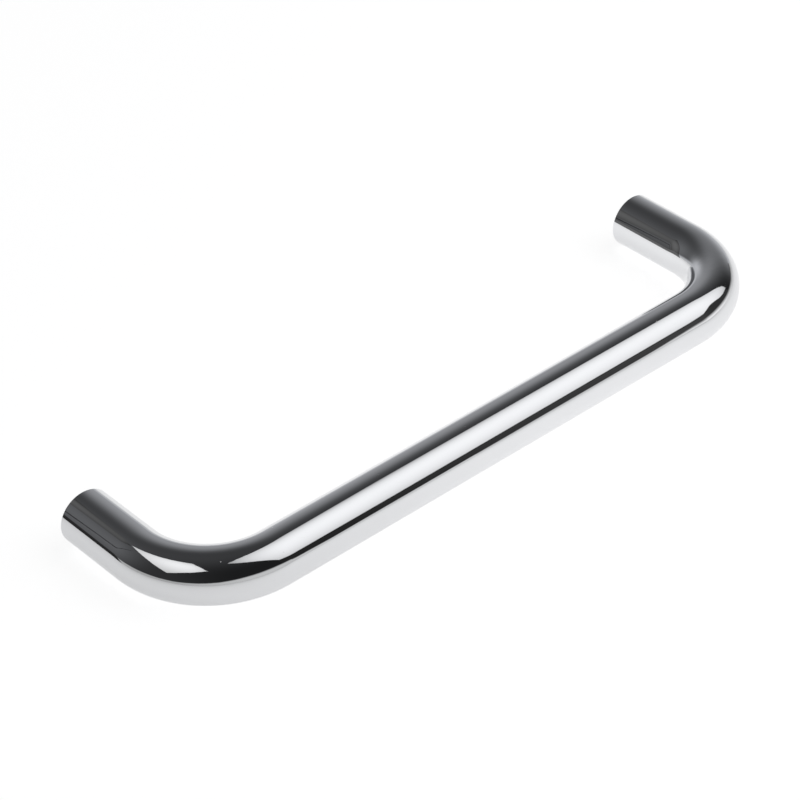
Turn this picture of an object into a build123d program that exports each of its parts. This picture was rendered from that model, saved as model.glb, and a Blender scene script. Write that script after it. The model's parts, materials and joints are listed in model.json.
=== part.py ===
from build123d import *
import os
from math import radians, tan

# Bar pull for a drawer or cupboard front: one length of round bar, bent square at both
# ends, with a tapped blind hole in each foot for a screw from behind the front panel.
# The mounting plane is y = 0, with the panel on its +Y side. The origin is midway between
# the two screws, X runs along the grip, and Z is up, square to both bends.

# Driving dimensions, in millimetres and degrees
bar_diameter = 10.0
hole_spacing = 128.0  # screw to screw
projection = 35.0  # mounting plane to the front of the grip
bend_radius = 16.0  # of each corner, on the bar's centreline
foot_chamfer = 0.15  # broken edge round each foot
thread_diameter = 4.0  # metric coarse thread, drilled at its minor diameter
thread_pitch = 0.7
thread_length = 10.0
tap_runout = 2.0  # plain bore past the last full thread
drill_point_angle = 118.0
mouth_clearance = 0.2  # countersink's diameter over the thread's
countersink_angle = 120.0

# Sizes that follow from them
bar_radius = bar_diameter / 2
foot_x = hole_spacing / 2
grip_y = bar_radius - projection  # centreline of the grip
bore_radius = (thread_diameter - thread_pitch) / 2
bore_depth = thread_length + tap_runout
drill_point = bore_radius / tan(radians(drill_point_angle / 2))
mouth_radius = (thread_diameter + mouth_clearance) / 2
mouth_depth = (mouth_radius - bore_radius) / tan(radians(countersink_angle / 2))

with BuildPart() as bar_pull:
    # The bar's centreline: leg, bend, grip, bend and leg, all in the plane z = 0
    with BuildLine() as centreline:
        FilletPolyline(
            (-foot_x, 0),
            (-foot_x, grip_y),
            (foot_x, grip_y),
            (foot_x, 0),
            radius=bend_radius,
        )
    with BuildSketch(Plane(centreline.line @ 0, z_dir=centreline.line % 0)):
        Circle(bar_radius)
    sweep()

    # The sawn feet lie on the mounting plane, with their outer edges broken
    feet = bar_pull.faces().filter_by(Axis.Y).group_by(Axis.Y)[-1]
    chamfer(feet.edges(), foot_chamfer)

    # Half section of a tapped hole, from its countersunk mouth to the drill's point
    for screw_x in (-foot_x, foot_x):
        with BuildSketch(Plane((screw_x, 0, 0))):
            with BuildLine():
                Polyline(
                    (0, 0),
                    (mouth_radius, 0),
                    (bore_radius, -mouth_depth),
                    (bore_radius, -bore_depth),
                    (0, -bore_depth - drill_point),
                    close=True,
                )
            make_face()
        revolve(axis=Axis((screw_x, 0, 0), (0, 1, 0)), mode=Mode.SUBTRACT)

bar_pull.part.label = "bar_pull"
os.makedirs("parts", exist_ok=True)
export_step(bar_pull.part, "parts/bar_pull.step")
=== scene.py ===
import json
from math import atan2, cos, pi, radians, sin, tan

import bmesh
import bpy
from mathutils import Matrix, Vector, noise


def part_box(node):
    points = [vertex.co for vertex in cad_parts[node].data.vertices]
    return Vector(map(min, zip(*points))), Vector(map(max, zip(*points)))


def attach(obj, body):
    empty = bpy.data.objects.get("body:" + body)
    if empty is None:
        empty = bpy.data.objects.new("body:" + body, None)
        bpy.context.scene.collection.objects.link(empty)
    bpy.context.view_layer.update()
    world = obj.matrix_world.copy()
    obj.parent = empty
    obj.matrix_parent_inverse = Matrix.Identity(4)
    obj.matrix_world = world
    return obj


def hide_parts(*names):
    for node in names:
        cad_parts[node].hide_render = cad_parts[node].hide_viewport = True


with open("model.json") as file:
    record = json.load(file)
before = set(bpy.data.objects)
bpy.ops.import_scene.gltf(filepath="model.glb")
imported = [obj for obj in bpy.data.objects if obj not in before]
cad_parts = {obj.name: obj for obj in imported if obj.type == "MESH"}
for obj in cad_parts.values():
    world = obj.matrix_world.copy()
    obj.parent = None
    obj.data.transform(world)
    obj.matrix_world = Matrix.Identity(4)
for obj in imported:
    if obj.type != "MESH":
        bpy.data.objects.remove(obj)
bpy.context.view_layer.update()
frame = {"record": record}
mm = 0.001
scene = bpy.context.scene

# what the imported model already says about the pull
low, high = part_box("bar_pull")
holes = next(m["dims"] for m in frame["record"]["mounts"] if m["name"] == "screw_holes")
barRadius = (high.z - low.z) / 2
footX = holes["spacing_x_mm"] * mm / 2
gripY = low.y + barRadius
boreRadius = holes["hole_r_mm"] * mm

# one length of round bar, bent square at both ends
bar = {
    "bendRadius": 16 * mm,  # on the centreline
    "around": 96,  # points in every ring
    "legRows": 28,
    "bendRows": 84,
    "gripRows": 120,
    "chamfer": 0.15 * mm,
    "softEdge": 0.04 * mm,  # plating rounds the chamfer's corners
    "faceRows": 8,
    "ripple": 0.03 * mm,  # bending leaves the corners a little uneven
    "rippleLength": 5 * mm,
    "bakeStrips": 7,  # the bar's skin cut into this many lengths, for baking
    "bakeMargin": 0.03,
    "bakeTip": 0.25,  # of the drill point's length, to stay inside the margin
    "sharpAngle": radians(38),  # edges that turn more than this stay crisp
}
# tapped blind hole in each foot
tappedHole = {
    "major": 2.0 * mm,
    "pitch": 0.7 * mm,
    "rowsPerPitch": 12,
    "rootFlat": 1 / 8,  # of the pitch
    "crestFlat": 1 / 4,
    "length": 10 * mm,
    "tapLead": 1.6 * mm,  # the last threads fade out here
    "boreDepth": 12 * mm,
    "coneRows": 6,
    "drillAngle": radians(118),
    "mouthRadius": 2.1 * mm,
    "mouthAngle": radians(120),
}
plated, faced, tapped = 0, 1, 2  # material slots of the bar


def softCorners(points, reach, steps=3):
    # rounds the inner corners of a profile, reach to each side
    rounded = [Vector(points[0])]
    for before, corner, after in zip(points, points[1:], points[2:]):
        corner = Vector(corner)
        start = corner + (Vector(before) - corner).normalized() * reach
        end = corner + (Vector(after) - corner).normalized() * reach
        for step in range(steps + 1):
            t = step / steps
            rounded.append(start.lerp(corner, t).lerp(corner.lerp(end, t), t))
    rounded.append(Vector(points[-1]))
    return rounded


def threadRadius(y, turn):
    # right-hand thread, cut by the countersink at its mouth and by the tap's lead at its end
    hole = tappedHole
    across = abs((y / hole["pitch"] - turn / (2 * pi)) % 1 - 0.5) * 2
    crest, root = 1 - hole["crestFlat"], hole["rootFlat"]
    cut = min(max((crest - across) / (crest - root), 0), 1)
    lead = min(max((-y - hole["length"] + hole["tapLead"]) / hole["tapLead"], 0), 1)
    deepest = hole["major"] - (hole["major"] - boreRadius) * lead
    radius = min(boreRadius + (hole["major"] - boreRadius) * cut, deepest)
    return max(radius, hole["mouthRadius"] + y * tan(hole["mouthAngle"] / 2))


def drillPoint():
    return boreRadius / tan(tappedHole["drillAngle"] / 2)


def footProfile():
    # (y, radius or None for thread, material) from the drill's point out to the leg
    hole = tappedHole
    profile = []
    for row in range(1, hole["coneRows"] + 1):
        share = row / hole["coneRows"]
        profile.append((-hole["boreDepth"] - drillPoint() * (1 - share), boreRadius * share, tapped))
    rows = round(hole["boreDepth"] / hole["pitch"] * hole["rowsPerPitch"])
    for row in range(1, rows):
        profile.append((-hole["boreDepth"] * (1 - row / rows), None, tapped))
    inner, outer, edge = hole["mouthRadius"], barRadius - bar["chamfer"], bar["softEdge"]
    for row in range(bar["faceRows"]):
        profile.append((0, inner + (outer - 2 * edge - inner) * row / bar["faceRows"], faced))
    rim = [
        (outer - 2 * edge, 0),
        (outer, 0),
        (barRadius, -bar["chamfer"]),
        (barRadius, -bar["chamfer"] - 2 * edge),
    ]
    profile += [(y, radius, plated) for radius, y in softCorners(rim, edge)]
    return profile


def makeRing(centre, angle, radius, skin=plated, bent=0.0):
    return {"centre": Vector(centre), "angle": angle, "radius": radius, "skin": skin, "bent": bent}


def barRings():
    # every ring of the pull in order, from one drill point to the other
    bend = bar["bendRadius"]
    rings = [makeRing((-footX, y, 0), pi, radius, skin) for y, radius, skin in footProfile()]
    legStart, legEnd = rings[-1]["centre"].y, gripY + bend
    for row in range(1, bar["legRows"] + 1):
        y = legStart + (legEnd - legStart) * row / bar["legRows"]
        rings.append(makeRing((-footX, y, 0), pi, barRadius))
    pivot = Vector((bend - footX, legEnd, 0))
    for row in range(1, bar["bendRows"] + 1):
        share = row / bar["bendRows"]
        angle = pi + pi / 2 * share
        out = Vector((cos(angle), sin(angle), 0))
        rings.append(makeRing(pivot + out * bend, angle, barRadius, bent=sin(pi * share) ** 2))
    half = bar["gripRows"] // 2
    for row in range(1, half + 1):
        rings.append(makeRing((pivot.x * (1 - row / half), gripY, 0), 1.5 * pi, barRadius))
    # the right half mirrors the left, without the middle ring
    for ring in rings[-2::-1]:
        x, y, z = ring["centre"]
        angle = 3 * pi - ring["angle"]
        rings.append(makeRing((-x, y, z), angle, ring["radius"], ring["skin"], ring["bent"]))
    return rings


def ringStations(rings):
    # how far along the bar's skin each ring lies
    stations = [0.0]
    for before, ring in zip(rings, rings[1:]):
        growth = (ring["radius"] or boreRadius) - (before["radius"] or boreRadius)
        stations.append(stations[-1] + (ring["centre"] - before["centre"]).length + abs(growth))
    return stations


def makeBarPull():
    count = bar["around"]
    rings = barRings()
    stations = ringStations(rings)
    bm = bmesh.new()
    straightBar = bm.verts.layers.float_vector.new("straightBar")  # place on the bar before bending
    bentShare = bm.verts.layers.float.new("bent")
    bakeMap = bm.loops.layers.uv.new("OFBake")

    def ringPoints(ring, station):
        out = Vector((cos(ring["angle"]), sin(ring["angle"]), 0))
        points = []
        for step in range(count):
            spin = 2 * pi * step / count
            aim = out * cos(spin) + Vector((0, 0, sin(spin)))
            reach = ring["radius"] or threadRadius(ring["centre"].y, atan2(aim.x, aim.z))
            onBar = Vector((station, reach * cos(spin), reach * sin(spin)))
            uneven = (1 + noise.noise(onBar / bar["rippleLength"])) / 2
            reach -= bar["ripple"] * ring["bent"] * uneven
            point = bm.verts.new(ring["centre"] + aim * reach)
            point[straightBar] = onBar
            point[bentShare] = ring["bent"]
            points.append(point)
        return points

    def bakePlace(strip, station, step):
        margin, strips = bar["bakeMargin"], bar["bakeStrips"]
        along = station / stations[-1] * strips - strip
        across = (strip + margin + (1 - 2 * margin) * step / count) / strips
        return margin + (1 - 2 * margin) * along, across

    loops = [ringPoints(ring, station) for ring, station in zip(rings, stations)]
    for row in range(len(rings) - 1):
        first, second = loops[row], loops[row + 1]
        strip = int(stations[row] / stations[-1] * bar["bakeStrips"])
        skin = max(rings[row]["skin"], rings[row + 1]["skin"])
        for step in range(count):
            following = (step + 1) % count
            face = bm.faces.new((first[step], first[following], second[following], second[step]))
            face.material_index = skin
            corners = ((row, step), (row, step + 1), (row + 1, step + 1), (row + 1, step))
            for loop, (corner, turn) in zip(face.loops, corners):
                loop[bakeMap].uv = bakePlace(strip, stations[corner], turn)
    # a fan of faces closes each drill point
    depth = tappedHole["boreDepth"] + drillPoint()
    beyond = drillPoint() * bar["bakeTip"]
    ends = (
        (-footX, loops[0], 0, 0.0, -beyond),
        (footX, loops[-1], bar["bakeStrips"] - 1, stations[-1], beyond),
    )
    for x, loop, strip, station, tipStep in ends:
        tip = bm.verts.new((x, -depth, 0))
        for step in range(count):
            face = bm.faces.new((loop[step], loop[(step + 1) % count], tip))
            face.material_index = tapped
            places = ((station, step), (station, step + 1), (station + tipStep, step + 0.5))
            for corner, place in zip(face.loops, places):
                corner[bakeMap].uv = bakePlace(strip, *place)
    bmesh.ops.recalc_face_normals(bm, faces=bm.faces)
    mesh = bpy.data.meshes.new("barPullMesh")
    bm.to_mesh(mesh)
    bm.free()
    mesh.shade_smooth()
    mesh.set_sharp_from_angle(angle=bar["sharpAngle"])
    piece = bpy.data.objects.new("barPull", mesh)
    scene.collection.objects.link(piece)
    return piece


def put(tree, kind, inputs=None, **settings):
    # one node, with its inputs either linked or set
    made = tree.nodes.new(kind)
    for key, value in settings.items():
        setattr(made, key, value)
    for key, value in (inputs or {}).items():
        if isinstance(value, bpy.types.NodeSocket):
            tree.links.new(value, made.inputs[key])
        else:
            made.inputs[key].default_value = value
    return made


def newMaterial(name):
    material = bpy.data.materials.new(name)
    material.use_nodes = True
    tree = material.node_tree
    tree.nodes.clear()
    return material, tree


def calc(tree, operation, *values):
    # one sum, with each value either linked or set
    return put(tree, "ShaderNodeMath", dict(enumerate(values)), operation=operation).outputs[0]


def cloud(tree, place, scale, detail):
    return put(tree, "ShaderNodeTexNoise", {
        "Vector": place, "Scale": scale, "Detail": detail}).outputs["Fac"]


def finishMetal(tree, patches, look, bump):
    # bright metal that turns duller in patches
    colour = put(tree, "ShaderNodeMix", {
        "Factor": patches, "A": look["colour"], "B": look["dullColour"]}, data_type="RGBA")
    rough = put(tree, "ShaderNodeMapRange", {
        "Value": patches, "From Min": look["dullRange"][0], "From Max": look["dullRange"][1],
        "To Min": look["roughness"][0], "To Max": look["roughness"][1]})
    shader = put(tree, "ShaderNodeBsdfPrincipled", {
        "Base Color": colour.outputs["Result"], "Metallic": 1.0,
        "Roughness": rough.outputs["Result"], "Normal": bump.outputs["Normal"]})
    put(tree, "ShaderNodeOutputMaterial", {"Surface": shader.outputs["BSDF"]})


# bright chrome: nearly a mirror, with a little haze, lengthwise buffing, a few pits, and a faint
# orange peel where bending stretched the bar
chromeLook = {
    "colour": (0.80, 0.807, 0.82, 1),
    "dullColour": (0.775, 0.78, 0.795, 1),
    "dullRange": (0.35, 0.7),  # levels of the haze at which the metal is bright, then dull
    "roughness": (0.02, 0.06),  # bright, then dull
    "hazeScale": 90.0,  # per metre
    "hazeDetail": 4.0,
    "waveScale": 160.0,
    "waveDetail": 1.0,
    "waveHeight": 4e-6,
    "buffScale": (25.0, 2600.0, 2600.0),  # along the bar, then across it
    "buffDetail": 2.0,
    "buffHeight": 6e-8,
    "pitScale": 330.0,
    "pitSize": (0.02, 0.05),  # of the pits' spacing, floor and rim
    "pitHeight": 1.2e-5,
    "peelScale": 900.0,
    "peelDetail": 1.0,
    "peelHeight": 6e-6,
}


def makeChrome():
    look = chromeLook
    material, tree = newMaterial("chromePlate")
    place = put(tree, "ShaderNodeTexCoord").outputs["Object"]
    straight = put(tree, "ShaderNodeAttribute", attribute_name="straightBar").outputs["Vector"]
    bent = put(tree, "ShaderNodeAttribute", attribute_name="bent").outputs["Fac"]
    streaks = put(tree, "ShaderNodeVectorMath", {
        0: straight, 1: look["buffScale"]}, operation="MULTIPLY").outputs["Vector"]
    spots = put(tree, "ShaderNodeTexVoronoi", {"Vector": place, "Scale": look["pitScale"]})
    pits = put(tree, "ShaderNodeMapRange", {
        "Value": spots.outputs["Distance"],
        "From Min": look["pitSize"][0],
        "From Max": look["pitSize"][1]}, interpolation_type="SMOOTHSTEP")
    peel = cloud(tree, straight, look["peelScale"], look["peelDetail"])
    bump = put(tree, "ShaderNodeBump", {
        "Height": peel, "Distance": look["peelHeight"], "Strength": bent})
    for height, distance in (
        (cloud(tree, streaks, 1.0, look["buffDetail"]), look["buffHeight"]),
        (cloud(tree, place, look["waveScale"], look["waveDetail"]), look["waveHeight"]),
        (pits.outputs["Result"], look["pitHeight"]),
    ):
        bump = put(tree, "ShaderNodeBump", {
            "Height": height, "Distance": distance, "Normal": bump.outputs["Normal"]})
    haze = cloud(tree, place, look["hazeScale"], look["hazeDetail"])
    finishMetal(tree, haze, look, bump)
    return material


# turned ends, with rings left by the facing tool round each screw hole
facedLook = {
    "colour": (0.66, 0.67, 0.68, 1),
    "dullColour": (0.52, 0.53, 0.54, 1),
    "dullRange": (0.0, 1.0),
    "roughness": (0.18, 0.34),
    "markPitch": 0.09 * mm,
    "markHeight": 4e-6,
    "driftScale": 900.0,
    "driftDetail": 3.0,
    "wander": 3.0,  # how far the marks stray, where 2 pi is one mark
}


def makeFacedFoot():
    look = facedLook
    material, tree = newMaterial("facedFoot")
    place = put(tree, "ShaderNodeTexCoord").outputs["Object"]
    axes = put(tree, "ShaderNodeSeparateXYZ", {"Vector": place}).outputs
    across = calc(tree, "SUBTRACT", calc(tree, "ABSOLUTE", axes["X"]), footX)
    flat = put(tree, "ShaderNodeCombineXYZ", {"X": across, "Y": axes["Z"]})
    distance = put(tree, "ShaderNodeVectorMath", {0: flat.outputs[0]}, operation="LENGTH")
    drift = cloud(tree, place, look["driftScale"], look["driftDetail"])
    turns = calc(tree, "MULTIPLY", distance.outputs["Value"], 2 * pi / look["markPitch"])
    marks = calc(tree, "SINE", calc(tree, "MULTIPLY_ADD", drift, look["wander"], turns))
    bump = put(tree, "ShaderNodeBump", {"Height": marks, "Distance": look["markHeight"]})
    finishMetal(tree, drift, look, bump)
    return material


# bare steel where the tap cut, with a trace of cutting oil
threadLook = {
    "colour": (0.36, 0.355, 0.35, 1),
    "dullColour": (0.22, 0.205, 0.19, 1),
    "dullRange": (0.0, 1.0),
    "roughness": (0.22, 0.45),
    "stainScale": 700.0,
    "stainDetail": 5.0,
    "grainScale": 6000.0,
    "grainDetail": 3.0,
    "grainHeight": 3e-6,
}


def makeTappedSteel():
    look = threadLook
    material, tree = newMaterial("tappedSteel")
    place = put(tree, "ShaderNodeTexCoord").outputs["Object"]
    grain = cloud(tree, place, look["grainScale"], look["grainDetail"])
    bump = put(tree, "ShaderNodeBump", {"Height": grain, "Distance": look["grainHeight"]})
    stain = cloud(tree, place, look["stainScale"], look["stainDetail"])
    finishMetal(tree, stain, look, bump)
    return material


barPull = makeBarPull()
for material in (makeChrome(), makeFacedFoot(), makeTappedSteel()):
    barPull.data.materials.append(material)
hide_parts("bar_pull")
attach(barPull, "root")
print("bar pull made,", len(barPull.data.polygons), "faces")

# pale table: white to the camera apart from the shadow, and to the metal a painted pool of light round
# the pull
table = {
    "radius": 30.0,  # so wide that its edge lies close to the horizon
    "edges": 96,
    "colour": (0.55, 0.55, 0.55, 1),
    "glow": 0.82,  # to the camera: with the softboxes' light on it this makes white
    "farGlow": 0.98,  # where little of their light reaches
    "glowRadius": 0.9,
    "near": 0.84,  # painted for the metal: in the pool, and far off on its dim and bright sides
    "farDim": 0.31,
    "farBright": 0.50,
    "brightSide": radians(60),  # azimuth
    "farEdges": (-0.09, 0.05),  # the two sides blend between these
    "poolRadius": 0.107,
    "poolCentre": (0.024, -0.022, 0),
    "contactReach": 0.02,  # painted contact shade: the metal sees it darker where the pull lies on it
    "contactShade": 0.20,
    "contactSamples": 4,
}


def fallOff(tree, place, centre, radius):
    # 1 at the centre, a half at the radius, and fading on from there
    offset = put(tree, "ShaderNodeVectorMath", {0: place, 1: centre}, operation="DISTANCE")
    spread = calc(tree, "DIVIDE", offset.outputs["Value"], radius)
    squared = calc(tree, "POWER", spread, 2.0)
    return calc(tree, "DIVIDE", 1.0, calc(tree, "ADD", squared, 1.0))


def makeTable():
    mesh = bpy.data.meshes.new("tableMesh")
    bm = bmesh.new()
    bmesh.ops.create_circle(bm, cap_ends=True, segments=table["edges"], radius=table["radius"])
    bm.to_mesh(mesh)
    bm.free()
    top = bpy.data.objects.new("table", mesh)
    top.location.z = low.z
    scene.collection.objects.link(top)
    material, tree = newMaterial("paleTable")
    path = put(tree, "ShaderNodeLightPath").outputs
    place = put(tree, "ShaderNodeTexCoord").outputs["Object"]
    # painted pool of light round the pull, and a painted brighter far side, seen only by the metal
    pool = fallOff(tree, place, table["poolCentre"], table["poolRadius"])
    bright = (cos(table["brightSide"]), sin(table["brightSide"]), 0)
    along = put(tree, "ShaderNodeVectorMath", {0: place, 1: bright}, operation="DOT_PRODUCT")
    far = put(tree, "ShaderNodeMapRange", {
        "Value": along.outputs["Value"],
        "From Min": table["farEdges"][0], "From Max": table["farEdges"][1],
        "To Min": table["farDim"], "To Max": table["farBright"]}, interpolation_type="SMOOTHSTEP")
    level = put(tree, "ShaderNodeMix", {
        "Factor": pool, "A": far.outputs["Result"], "B": table["near"]})
    # painted contact shade where the pull lies on the table, seen only by the metal
    contact = put(tree, "ShaderNodeAmbientOcclusion", {
        "Distance": table["contactReach"]}, samples=table["contactSamples"])
    shade = put(tree, "ShaderNodeMapRange", {
        "Value": contact.outputs["AO"], "To Min": 1 - table["contactShade"], "To Max": 1.0})
    shaded = calc(tree, "MULTIPLY", level.outputs["Result"], shade.outputs["Result"])
    mirrored = calc(tree, "MAXIMUM", path["Is Glossy Ray"], path["Is Transmission Ray"])
    wide = fallOff(tree, place, (0, 0, 0), table["glowRadius"])
    glow = put(tree, "ShaderNodeMix", {
        "Factor": wide, "A": table["farGlow"], "B": table["glow"]})
    seen = calc(tree, "MULTIPLY", path["Is Camera Ray"], glow.outputs["Result"])
    strength = put(tree, "ShaderNodeMix", {"Factor": mirrored, "A": seen, "B": shaded})
    paint = put(tree, "ShaderNodeBsdfDiffuse", {"Color": table["colour"]})
    light = put(tree, "ShaderNodeEmission", {"Strength": strength.outputs["Result"]})
    both = put(tree, "ShaderNodeAddShader", {0: paint.outputs[0], 1: light.outputs[0]})
    put(tree, "ShaderNodeOutputMaterial", {"Surface": both.outputs[0]})
    mesh.materials.append(material)


def addToStudio(name, mesh, material, lightsTable):
    # unseen by the camera: the metal mirrors it, and a softbox lights the table too
    mesh.materials.append(material)
    item = bpy.data.objects.new(name, mesh)
    scene.collection.objects.link(item)
    item.visible_camera = False
    item.visible_shadow = False
    item.visible_diffuse = lightsTable
    return item


# flat glowing sheets: two softboxes light the pull, and the right one makes the long white band
panels = {
    "rightBox": {
        "centre": (0.586, -0.314, 0.916),
        "turn": (4, 52, -50),  # degrees about x, y and z
        "size": (1.284, 1.260),
        "strength": 1.17,
        "fade": 0.6,  # the corners are this much dimmer
        "peak": (0.16, 0.0),  # brightest place, from the middle towards the edges
        "colour": (0.99, 0.993, 1.0, 1),
    },
    "leftBox": {
        "centre": (-0.283, -0.026, 0.457),
        "turn": (-79.2, 56.5, 80.4),
        "size": (0.450, 0.397),
        "strength": 1.08,
        "fade": 0.44,
    },
    # a dim one behind the feet, mirrored by the sides of the legs
    "backCard": {
        "centre": (-0.14, 0.213, 0.14),
        "turn": (90, 0, 38),
        "size": (0.10, 0.27),
        "strength": 0.145,
        "fade": 0.9,
        "lightsTable": False,
    },
}


def makePanel(name, centre, turn, size, strength, fade,
              peak=(0, 0), colour=(1, 1, 1, 1), lightsTable=True):
    wide, tall = size
    mesh = bpy.data.meshes.new(name + "Mesh")
    corners = [(x * wide / 2, y * tall / 2, 0) for x, y in ((-1, -1), (1, -1), (1, 1), (-1, 1))]
    mesh.from_pydata(corners, [], [(0, 1, 2, 3)])
    material, tree = newMaterial(name + "Cloth")
    place = put(tree, "ShaderNodeTexCoord").outputs["Object"]
    scaled = put(tree, "ShaderNodeVectorMath", {
        0: place, 1: (2 / wide, 2 / tall, 0), 2: (-peak[0], -peak[1], 0)}, operation="MULTIPLY_ADD")
    squared = put(tree, "ShaderNodeVectorMath", {
        0: scaled.outputs["Vector"], 1: scaled.outputs["Vector"]}, operation="DOT_PRODUCT")
    level = calc(tree, "MULTIPLY_ADD", squared.outputs["Value"], -strength * fade / 2, strength)
    light = put(tree, "ShaderNodeEmission", {"Color": colour, "Strength": level})
    put(tree, "ShaderNodeOutputMaterial", {"Surface": light.outputs[0]})
    panel = addToStudio(name, mesh, material, lightsTable)
    panel.location = centre
    panel.rotation_euler = [radians(angle) for angle in turn]


# curved cards that stand on the table round the pull, cut to shape along the top
cards = {
    "leftCard": {
        "reach": 0.68,
        "outline": (  # azimuth in degrees, height of the top in mm, brightness
            (146, 52, 0.46), (160, 72, 0.45), (175, 80, 0.44), (200, 80, 0.45), (210, 90, 0.50),
            (230, 114, 0.56), (240, 138, 0.59), (250, 164, 0.61), (260, 178, 0.63), (270, 182, 0.64),
            (280, 170, 0.64), (288, 144, 0.62), (292, 125, 0.62), (294.4, 38, 0.68), (300, 38, 0.75),
        ),
        "soft": 0.3,  # share of the height that fades out at the top
    },
    "rightCard": {
        "reach": 0.68,
        "outline": (
            (300, 38, 0.75), (307, 38, 0.78), (308.5, 84, 0.90), (310, 128, 0.98), (312, 136, 1.03),
            (326, 136, 1.0), (334, 124, 0.95), (342, 108, 0.85), (355, 102, 0.65), (370, 102, 0.60),
        ),
        "soft": 0.7,
    },
    # dark cloth in front of the right softbox shapes the white band's lower edge and its end
    "flag": {
        "reach": 0.70,
        "outline": (
            (284, 455, 0.018), (285, 372, 0.018), (291, 330, 0.018), (296, 285, 0.022), (300, 268, 0.034),
            (305, 261, 0.048), (309, 252, 0.060), (311, 254, 0.055), (313, 300, 0.048), (316, 340, 0.042),
            (320, 365, 0.038), (326, 402, 0.036), (330, 400, 0.036), (334, 355, 0.036), (338, 275, 0.038),
            (341, 245, 0.040), (347, 208, 0.042),
        ),
        "soft": 0.0,
    },
}
# low strips and a stand behind the feet, mirrored as thin lines along the legs: y, then x and the
# height of the top along each, in mm
strips = {
    "greyStrip": {"y": 88, "strength": 0.145, "outline": ((-100, 20), (-35, 20), (-12, 12), (6, -5))},
    "greyStripEdge": {"y": 89, "strength": 0.08, "outline": ((-100, 23), (-34, 23), (-9, 14), (9, -5))},
    "blackStrip": {
        "y": 88,
        "strength": 0.025,
        "outline": ((-250, -5), (-205, 16), (-190, 18), (-120, 18)),
    },
    "standPole": {"y": 406, "strength": 0.01, "outline": ((-494, 600), (-484, 600))},
}


def curvedPosts(card, steps=6):
    posts = []
    for before, after in zip(card["outline"], card["outline"][1:]):
        for step in range(steps + 1):
            azimuth, top, strength = Vector(before).lerp(Vector(after), step / steps)
            turn = radians(azimuth)
            posts.append((card["reach"] * cos(turn), card["reach"] * sin(turn), top * mm, strength))
    return posts


def stripPosts(strip):
    return [(x * mm, strip["y"] * mm, top * mm, strip["strength"]) for x, top in strip["outline"]]


def makeCard(name, posts, soft=0.0, dimTop=0.03, pastTop=0.001):
    # upright sheet on the table through a row of posts, dimmer towards its top where that is soft:
    # the fade ends a hair past the top, so that a sheet without one stays even
    points, rise, bright = [], [], []
    for x, y, top, strength in posts:
        points += [(x, y, low.z), (x, y, top)]
        rise += [0.0, 1.0]
        bright += [strength, strength]
    faces = [(i, i + 2, i + 3, i + 1) for i in range(0, len(points) - 2, 2)]
    mesh = bpy.data.meshes.new(name + "Mesh")
    mesh.from_pydata(points, [], faces)
    mesh.attributes.new("rise", "FLOAT", "POINT").data.foreach_set("value", rise)
    mesh.attributes.new("bright", "FLOAT", "POINT").data.foreach_set("value", bright)
    material, tree = newMaterial(name + "Cloth")
    height = put(tree, "ShaderNodeAttribute", attribute_name="rise").outputs["Fac"]
    strength = put(tree, "ShaderNodeAttribute", attribute_name="bright").outputs["Fac"]
    faded = put(tree, "ShaderNodeMapRange", {
        "Value": height, "From Min": 1 - soft, "From Max": 1 + pastTop,
        "To Min": 1.0, "To Max": dimTop})
    level = calc(tree, "MULTIPLY", strength, faded.outputs["Result"])
    light = put(tree, "ShaderNodeEmission", {"Strength": level})
    put(tree, "ShaderNodeOutputMaterial", {"Surface": light.outputs[0]})
    addToStudio(name, mesh, material, lightsTable=False)


# the dim cool room that the metal mirrors, with a pale surround low down
room = {
    "tint": (0.975, 0.99, 1.03, 1),
    "dim": 0.014,
    "glows": (  # azimuth and elevation in degrees, strength, how tightly it gathers
        (45, 14, 0.285, 11),
        (57, 30, 0.05, 30),
        (122, 18, 0.135, 7),
        (24, 2, 0.36, 28),
        (76, 8, 0.50, 32),
        (15, 46, 0.009, 40),
        (87, 71, 0.038, 4),
        (185, 15, 0.018, 5),
    ),
    "surround": 0.54,
    "surroundTilt": (-0.05, -0.06, 1.0),  # upright, leaning a little
    "surroundTop": 0.035,  # sine of its elevation, and how far that blurs each way
    "surroundBlur": 0.06,
}


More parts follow.
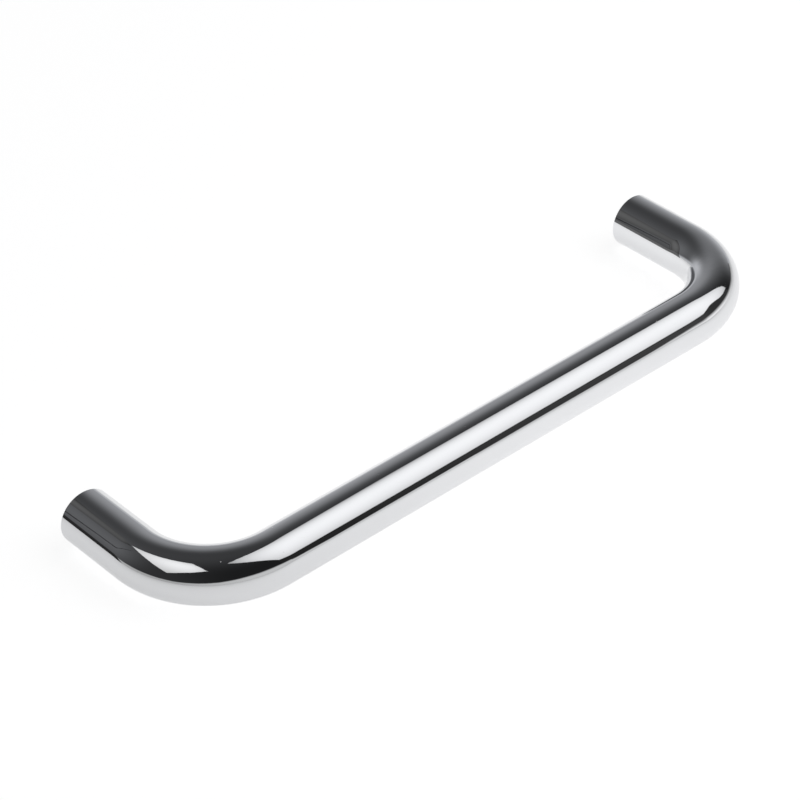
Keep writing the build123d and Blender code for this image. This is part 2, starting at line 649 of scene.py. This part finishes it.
def makeRoom():
    world = bpy.data.worlds.new("studio")
    scene.world = world
    world.use_nodes = True
    tree = world.node_tree
    tree.nodes.clear()
    aim = put(tree, "ShaderNodeTexCoord").outputs["Generated"]
    total = room["dim"]
    for azimuth, elevation, strength, gather in room["glows"]:
        turn, rise = radians(azimuth), radians(elevation)
        direction = (cos(turn) * cos(rise), sin(turn) * cos(rise), sin(rise))
        facing = put(tree, "ShaderNodeVectorMath", {0: aim, 1: direction}, operation="DOT_PRODUCT")
        gathered = calc(tree, "POWER", calc(tree, "MAXIMUM", facing.outputs["Value"], 0.0), gather)
        total = calc(tree, "MULTIPLY_ADD", gathered, strength, total)
    tilt = Vector(room["surroundTilt"]).normalized()
    height = put(tree, "ShaderNodeVectorMath", {0: aim, 1: tilt}, operation="DOT_PRODUCT")
    pale = put(tree, "ShaderNodeMapRange", {
        "Value": height.outputs["Value"],
        "From Min": room["surroundTop"] - room["surroundBlur"],
        "From Max": room["surroundTop"] + room["surroundBlur"],
        "To Min": 1.0, "To Max": 0.0}, interpolation_type="SMOOTHSTEP")
    level = put(tree, "ShaderNodeMix", {
        "Factor": pale.outputs["Result"], "A": total, "B": room["surround"]})
    shown = put(tree, "ShaderNodeBackground", {
        "Color": room["tint"], "Strength": level.outputs["Result"]})
    put(tree, "ShaderNodeOutputWorld", {"Surface": shown.outputs[0]})


# camera at the photograph's viewing angle
shot = {
    "azimuth": radians(-40.5),
    "elevation": radians(36.87),
    "roll": radians(-1.94),
    "distance": 0.487,
    "aim": (-0.00533, -0.01231, 0),
    "lens": 126.5,
    "sensor": 36,
    "clip": (0.01, 100),
}


def makeCamera():
    turn, rise, roll = shot["azimuth"], shot["elevation"], shot["roll"]
    back = Vector((sin(turn) * cos(rise), -cos(turn) * cos(rise), sin(rise)))
    right = Vector((cos(turn), sin(turn), 0))
    up = back.cross(right)
    side = right * cos(roll) + up * sin(roll)
    top = up * cos(roll) - right * sin(roll)
    lens = bpy.data.cameras.new("shotLens")
    lens.lens = shot["lens"]
    lens.sensor_width = shot["sensor"]
    lens.clip_start, lens.clip_end = shot["clip"]
    camera = bpy.data.objects.new("shotCamera", lens)
    pose = Matrix((side, top, back)).transposed().to_4x4()
    pose.translation = Vector(shot["aim"]) + back * shot["distance"]
    camera.matrix_world = pose
    scene.collection.objects.link(camera)
    scene.camera = camera


makeTable()
for name, panel in panels.items():
    makePanel(name, **panel)
for name, card in cards.items():
    makeCard(name, curvedPosts(card), card["soft"])
for name, strip in strips.items():
    makeCard(name, stripPosts(strip))
makeRoom()
makeCamera()
scene.view_settings.view_transform = "Standard"
print("studio lit and camera set")
